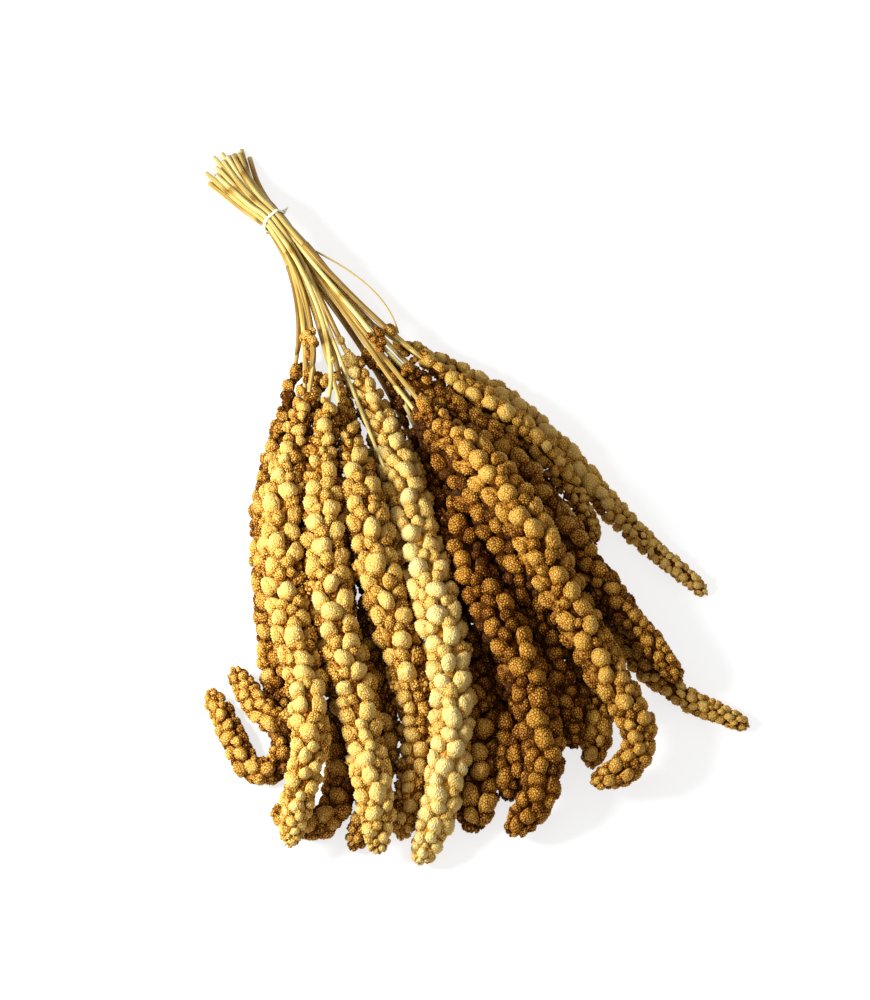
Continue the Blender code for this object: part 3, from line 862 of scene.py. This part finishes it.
triangles = 0
for number, name in enumerate(HEADS):
    line = heads[name][0]
    share = np.linspace(0, 1, len(line))
    total = np.linalg.norm(np.diff(line, axis=0), axis=1).sum()
    reach = width_at(name, line, (1 - share) * total)
    core = np.minimum(1.0 + 60 * share, reach * (0.42 + 0.2 * np.clip((share - 0.6) / 0.3, 0, 1)))
    places, faces, _ = turned(line[::2], CORE_SIDES, core[::2])
    # the core lies deep, and is painted dark as the shade inside the ear
    values = [[np.full(len(places), value)] for value in (0.1, 0.6, 0.5, 0.3, RIPE_AND_SHADE[number])]
    parts, count = [places], len(places)
    for k in [k for k, cluster in enumerate(clusters) if cluster["head"] == number]:
        world, triangle, painted = place_cluster(k)
        parts.append(world)
        faces += (triangle + count).tolist()
        count += len(world)
        for column, value in zip(values, painted):
            column.append(value)
    painted = {label: np.concatenate(column) for label, column in zip(PAINTED, values)}
    piece = make_piece("ear_" + name, name, grain_material, np.concatenate(parts), faces,
                       painted)
    triangles += sum(len(face.vertices) - 2 for face in piece.data.polygons)
print("triangles in the heads", triangles)

# %% [markdown]
# The stems are straw: hollow stalks of dried grass with fine fibres along them and a thin wax that
# shines a little. To the eye that is a pale yellow with darker and lighter streaks, duller and browner
# at the joints. The streaks are noise, stretched along the straw by values that the mesh carries. A
# pattern stretched in one direction of the room would run across a stem where it bends.

# %% Dry straw, fibres along it
# a fibre of straw is about 0.1 mm wide, too fine to show, so a streak is drawn 0.44 mm wide; that is
# 1 / 3.2 of the straw's radius of 1.4 mm. Along the straw a streak is 25 mm long.
STREAKS_IN_RADIUS = 3.2
STREAK_LENGTH = 25
# how far a fibre stands out
FIBRE_MM = 0.12

# straw bends light by about 1.5, and its wax is silky
straw_material, straw_shader = new_material("dry straw, fibres along it", {
    "Roughness": 0.45, "IOR": 1.5, "Specular IOR Level": 0.25})
fibre, joint, shade = (add_node(straw_material, "Attribute", {"attribute_name": label})
                       for label in ("fibre", "joint", "tint"))
streak = add_node(straw_material, "TexNoise", {"Scale": 1.0, "Detail": 3.0, "Roughness": 0.6},
                  {"Vector": (fibre, "Vector")})
patch = add_node(straw_material, "TexNoise", {"Scale": 0.35, "Detail": 1.0}, {"Vector": (fibre, "Vector")})
straw_tone = weigh(straw_material, [(streak, "Fac", 1.50, -0.40), (patch, "Fac", 0.40, -0.20),
                                    (joint, "Fac", -0.35, 0.0), (shade, "Fac", 0.45, -0.22)])
straw_colour = add_node(straw_material, "ValToRGB", {"stops": [
    (0.0, "#6E4A12"), (0.25, "#A88236"), (0.5, "#CBB066"), (0.75, "#DCCB90"), (1.0, "#E6DDB8")]},
    {"Fac": (straw_tone, 0)})
straw_bump = add_node(straw_material, "Bump", {"Strength": 0.5, "Distance": FIBRE_MM * MM},
                      {"Height": (streak, "Fac")})
feed(straw_material, straw_shader, {"Base Color": (straw_colour, "Color"), "Normal": (straw_bump, "Normal")})
print("streaks in mm", round(1.4 / STREAKS_IN_RADIUS, 2), "by", STREAK_LENGTH)

# %% [markdown]
# A straw is a tube that follows a line, with the stretched place of its fibres on its corners. The line
# of a solid stem has only a few points, so a curve is laid through them. Curve objects could make the
# tube too, but a mesh takes the painted values and the hollow cut end more easily.

# %% A straw along a line
SIDES = 12


def straw(line, radii, joint, tint, seed, hollow=False):
    """A straw along a line: places, faces and painted values, the last the place of its fibres."""
    places, faces, which = turned(line, SIDES, radii, hollow)
    angle = np.tile(2 * math.pi * np.arange(SIDES) / SIDES, len(places) // SIDES)
    fibre = np.stack([np.cos(angle) * STREAKS_IN_RADIUS, np.sin(angle) * STREAKS_IN_RADIUS,
                      runs_of(line)[which] / STREAK_LENGTH + seed * 7], axis=1)
    joint = joint[which]
    if hollow:
        # a fresh cut has a pale rim, and the hole inside it is painted dark, as shade
        joint[:SIDES] = 1.2
        joint[SIDES:3 * SIDES] = -0.7
    return places, faces, [joint, np.full(len(places), tint), fibre]


def curve_through(rough):
    """A smooth curve through a chain of points, six points for each of its steps."""
    p = np.vstack([2 * rough[0] - rough[1], rough, 2 * rough[-1] - rough[-2]])
    t = np.linspace(0, 1, 7)[:-1, None]
    pieces = [0.5 * (2 * b + (c - a) * t + (2 * a - 5 * b + 4 * c - d) * t ** 2
                     + (3 * b - a - 3 * c + d) * t ** 3) for a, b, c, d in zip(p, p[1:], p[2:], p[3:])]
    return np.vstack(pieces + [rough[-1:]])


print("points on the curve of the first stem", len(curve_through(stem_lines["stem_01"])))

# %% [markdown]
# Two things leave their stems. A bare side shoot of one lies across the heads, and a thread of torn
# sheath bows out from another. Each is a bow through three places, and rays from above find what lies
# under it, so that the bow can be lifted onto that. Letting it fall in a simulation would work too, but
# it is slower and harder to aim.

# %% Shoots that lie on the pile
# three places from the middle of the tie, in mm, and the radius at the stem
SHOOTS = {"stem_13": (((17.2, -27.2, 0.4), (41.1, -93.5, 0.0), (65.0, -159.8, 6.7)), 1.15),
          "stem_15": (((21.0, -20.1, 3.3), (56.0, -44.6, 1.5), (72.0, -73.5, 2.4)), 0.55)}
SHOOT_POINTS = 50
# the middle of a shoot lies this far over what is under it, in mm
LIFT = 1.6
# rays start this high over the table, in metres
ABOVE = 0.2

pile = solid_tree(HEADS + STEMS)
tie_middle = np.array(tie_centre) / MM


def laid(start, middle, end):
    """A bow through three places, lifted wherever something lies under it."""
    t = np.linspace(0, 1, SHOOT_POINTS)[:, None]
    turn = 2 * middle - (start + end) / 2
    line = (1 - t) ** 2 * start + 2 * t * (1 - t) * turn + t ** 2 * end
    for k in range(1, SHOOT_POINTS - 1):
        hit = pile.ray_cast(Vector((line[k, 0] * MM, line[k, 1] * MM, ABOVE)), Vector((0, 0, -1)))[0]
        if hit is not None:
            line[k, 2] = max(line[k, 2], hit.z / MM + LIFT)
    return smooth(line, 6)


shoots = {name: (laid(*(tie_middle + spot for spot in course)), thick)
          for name, (course, thick) in SHOOTS.items()}
print("shoots in mm", {name: round(float(runs_of(line)[-1])) for name, (line, _) in shoots.items()})

# %% [markdown]
# A plain rod would look like wire. So each stem thins a little towards its head, wavers, and swells at
# a joint every few centimetres, and two of three keep the dry leaf sheath that wraps them past the band,
# torn at a slant where it ends. The cut end is hollow.

# %% Leaf sheaths
# radius of a sheath at its start, near its end and at its torn edge, in mm
SHEATH_RADII = (1.8, 1.62, 1.5)


def sheath(line, run, tint, number, rng):
    """The dry leaf sheath of a stem, from past the band to a torn end before the head."""
    first = np.searchsorted(run, rng.uniform(74, 84))
    last = np.searchsorted(run, run[-1] - rng.uniform(12, 30))
    wrap = np.linspace(SHEATH_RADII[0], SHEATH_RADII[1], last - first)
    wrap[-1] = SHEATH_RADII[2]
    places, faces, painted = straw(line[first:last], wrap, 0.15 + 0 * wrap, tint - 0.3, number + 0.5)
    slant = np.cos(2 * math.pi * np.arange(SIDES) / SIDES + rng.uniform(0, 6))[:, None]
    step = line[last] - line[last - 1]
    places[-SIDES:] += (2.5 + 2.5 * slant) * step / np.linalg.norm(step)
    return places, faces, painted


print("stems with a sheath", sum(number % 3 != 1 for number in range(len(STEMS))))

# %% Stems
# radius at the cut end, past the band and at the head, in mm
STEM_RADII = (1.46, 1.42, 1.25)
PAST_BAND = 60
# each stem runs on into its head by this much, in mm
INTO_HEAD = 3.0
# how far a joint swells the stem to each side of it, in mm
JOINT_LENGTH = 3.0

stem_triangles = 0
for number, name in enumerate(STEMS):
    rng = np.random.default_rng(900 + number)
    line = curve_through(stem_lines[name])
    step = line[-1] - line[-2]
    line = np.vstack([line, line[-1] + step / np.linalg.norm(step) * [[INTO_HEAD]]])
    run = runs_of(line)
    radii = np.interp(run, [0, PAST_BAND, run[-1]], STEM_RADII)
    radii = radii * (1 + 0.05 * np.sin(run / rng.uniform(18, 30)))
    swelling = np.zeros(len(line))
    for at in np.arange(rng.uniform(10, 60), run[-1], rng.uniform(60, 95)):
        swelling = np.maximum(swelling, np.exp(-((run - at) / JOINT_LENGTH) ** 2))
    tint = rng.uniform(0.2, 1.0)
    parts = [straw(line, radii * (1 + 0.12 * swelling), swelling, tint, number, hollow=True)]
    if number % 3 != 1:
        parts.append(sheath(line, run, tint, number, rng))
    if name in shoots:
        shoot, thick = shoots[name]
        taper = np.linspace(thick, 0.8 * thick, len(shoot))
        # the shoot is pale straw, the thread of sheath is browner
        parts.append(straw(shoot, taper, np.zeros(len(shoot)), 0.9 if thick > 1 else 0.4, number + 0.3))
    places, faces = joined([part[:2] for part in parts])
    joint, tint, fibre = (np.concatenate([part[2][k] for part in parts]) for k in range(3))
    piece = make_piece("straw_" + name, name, straw_material, places, faces,
                       {"joint": joint, "tint": tint})
    stretched = piece.data.attributes.new("fibre", "FLOAT_VECTOR", "POINT")
    stretched.data.foreach_set("vector", fibre.astype(np.float32).ravel())
    stem_triangles += sum(len(face.vertices) - 2 for face in piece.data.polygons)
print("triangles in the stems", stem_triangles)

# %% [markdown]
# The band is a narrow strip of soft plastic, extruded and pulled tight, so it is smooth with a faint
# sheen and only a soft waviness where it was pulled. It is off-white, a little yellower in places.

# %% Pale band, smooth plastic
# the waves of a pulled strip are about 1.5 mm apart and 0.1 mm deep
WAVE_MM = 1.5
WAVE_DEPTH_MM = 0.1

# polyethylene bends light by about 1.5, and a strip of it is half shiny
band_material, band_shader = new_material("pale band, smooth plastic", {"Roughness": 0.35, "IOR": 1.5})
band_place = add_node(band_material, "TexCoord")
band_noise = add_node(band_material, "TexNoise", {"Scale": 1 / (WAVE_MM * MM), "Detail": 2.0},
                      {"Vector": (band_place, "Object")})
band_colour = add_node(band_material, "ValToRGB", {"stops": [(0.3, "#D9D0BE"), (0.7, "#F3EEE2")]},
                       {"Fac": (band_noise, "Fac")})
band_bump = add_node(band_material, "Bump", {"Strength": 0.25, "Distance": WAVE_DEPTH_MM * MM},
                     {"Height": (band_noise, "Fac")})
feed(band_material, band_shader, {"Base Color": (band_colour, "Color"), "Normal": (band_bump, "Normal")})
print("waves in the band, each mm", round(1 / WAVE_MM, 2))

# %% [markdown]
# The band follows the ring of the frame, so it presses on the outermost stems and bridges the hollows
# between them. The strip is wider than thick, so each point of the ring gets an oval. The knot is a
# short thick wrap over it, with one short stub.

# %% Course of the band
BAND_POINTS = 120

rings = rod_line("tie")
centre = rings.mean(0)
flat = np.linalg.svd(rings - centre)[2]
normal = flat[2]
rings = rings[np.argsort(np.arctan2((rings - centre) @ flat[1], (rings - centre) @ flat[0]))]
loop = np.vstack([rings, rings[:1]])
fine = np.linspace(0, len(rings), BAND_POINTS + 1)[:-1]
loop = np.stack([np.interp(fine, np.arange(len(loop)), loop[:, k]) for k in range(3)], axis=1)
for _ in range(2):
    loop = 0.25 * np.roll(loop, 1, 0) + 0.5 * loop + 0.25 * np.roll(loop, -1, 0)
print("band across in mm", round(float(np.linalg.norm(loop[0] - loop[BAND_POINTS // 2])), 1))

# %% Strip of the band
BAND_SIDES = 10
# half the thickness and half the width of the strip, in mm
BAND_HALF = (0.62, 0.95)

places, faces = [], []
for k, here in enumerate(loop):
    out = here - centre
    out -= normal * (out @ normal)
    out /= np.linalg.norm(out)
    a, b = k * BAND_SIDES, (k + 1) % BAND_POINTS * BAND_SIDES
    for n in range(BAND_SIDES):
        angle = 2 * math.pi * n / BAND_SIDES
        places.append(here + BAND_HALF[0] * math.cos(angle) * out + BAND_HALF[1] * math.sin(angle) * normal)
        faces.append((a + n, a + (n + 1) % BAND_SIDES, b + (n + 1) % BAND_SIDES, b + n))
parts = [(np.array(places), faces)]
print("faces of the strip", len(faces))

# %% Knot of the band
# the knot sits at the side away from the cut ends
KNOT_SIDE = [0.8, 0.6, 0.0]
KNOT_RADIUS, KNOT_HALF = 1.25, 1.7
STUB_RADIUS, STUB_LENGTH = 0.7, 2.6

k = int(np.argmax(loop @ KNOT_SIDE))
knot_way = loop[(k + 3) % BAND_POINTS] - loop[k - 3]
knot_way /= np.linalg.norm(knot_way)
outward = (loop[k] - centre) / np.linalg.norm(loop[k] - centre)
wrap = loop[k] + 0.5 * outward + np.linspace(-KNOT_HALF, KNOT_HALF, 9)[:, None] * knot_way
parts.append(turned(wrap, BAND_SIDES, KNOT_RADIUS * np.sqrt(1 - np.linspace(-0.93, 0.93, 9) ** 2))[:2])
stub = loop[k] + 0.6 * outward + np.linspace(0, STUB_LENGTH, 9)[:, None] * outward
stub = stub + np.linspace(0, 1, 9)[:, None] ** 2 * [0.0, 1.0, -0.6]
parts.append(turned(stub, BAND_SIDES, np.full(9, STUB_RADIUS))[:2])
places, faces = joined(parts)
make_piece("band", "tie", band_material, places, faces, {})
print("faces of the band with its knot", len(faces))

# %% [markdown]
# The floor is a plain sheet of matt paper that glows a little, which takes the grey out of it as a
# bright backdrop would. It isn't part of the object.

# %% Floor
FLOOR_HALF = 4

# paper is rough and hardly shines
floor_material, floor_shader = new_material("white paper", {
    "Base Color": linear("#A8A8A8"), "Emission Color": linear("#FFFFFF"), "Emission Strength": 0.73,
    "Roughness": 0.9, "Specular IOR Level": 0.1})
floor_mesh = bpy.data.meshes.new("floor")
corners = [(x * FLOOR_HALF, y * FLOOR_HALF, 0) for x, y in ((-1, -1), (1, -1), (1, 1), (-1, 1))]
floor_mesh.from_pydata(corners, [], [(0, 1, 2, 3)])
floor_mesh.materials.append(floor_material)
floor = bpy.data.objects.new("floor", floor_mesh)
bpy.context.scene.collection.objects.link(floor)
print("floor in metres", 2 * FLOOR_HALF)

# %% [markdown]
# One round lamp stands low on the left, near enough for soft light, and lights the left side of every
# cluster. A pale sky fills the shade. Under a higher lamp the round clusters would look flat.

# %% Light
SKY_STRENGTH = 0.52
KEY_WATTS = 8.1
KEY_SIZE = 0.25
KEY_DISTANCE = 0.62
KEY_TOWARD = (-0.84, -0.20, 0.60)

world = bpy.data.worlds.new("studio")
bpy.context.scene.world = world
world.use_nodes = True
sky_shader = world.node_tree.nodes["Background"]
sky_shader.inputs["Color"].default_value = linear("#FFFFFF")
sky_shader.inputs["Strength"].default_value = SKY_STRENGTH
key_data = bpy.data.lights.new("key", "AREA")
key_data.shape = "DISK"
key_data.size = KEY_SIZE
key_data.energy = KEY_WATTS
# a touch of blue keeps the bright straw from turning orange
key_data.color = linear("#F6FFFF")[:3]
key = bpy.data.objects.new("key", key_data)
toward = Vector(KEY_TOWARD).normalized()
key.location = Vector((0, 0, 0.03)) + toward * KEY_DISTANCE
key.rotation_euler = toward.to_track_quat("Z", "Y").to_euler()
bpy.context.scene.collection.objects.link(key)
bpy.context.scene.view_settings.view_transform = "Standard"
print("key light", KEY_WATTS, "W from", [round(x, 2) for x in key.location])
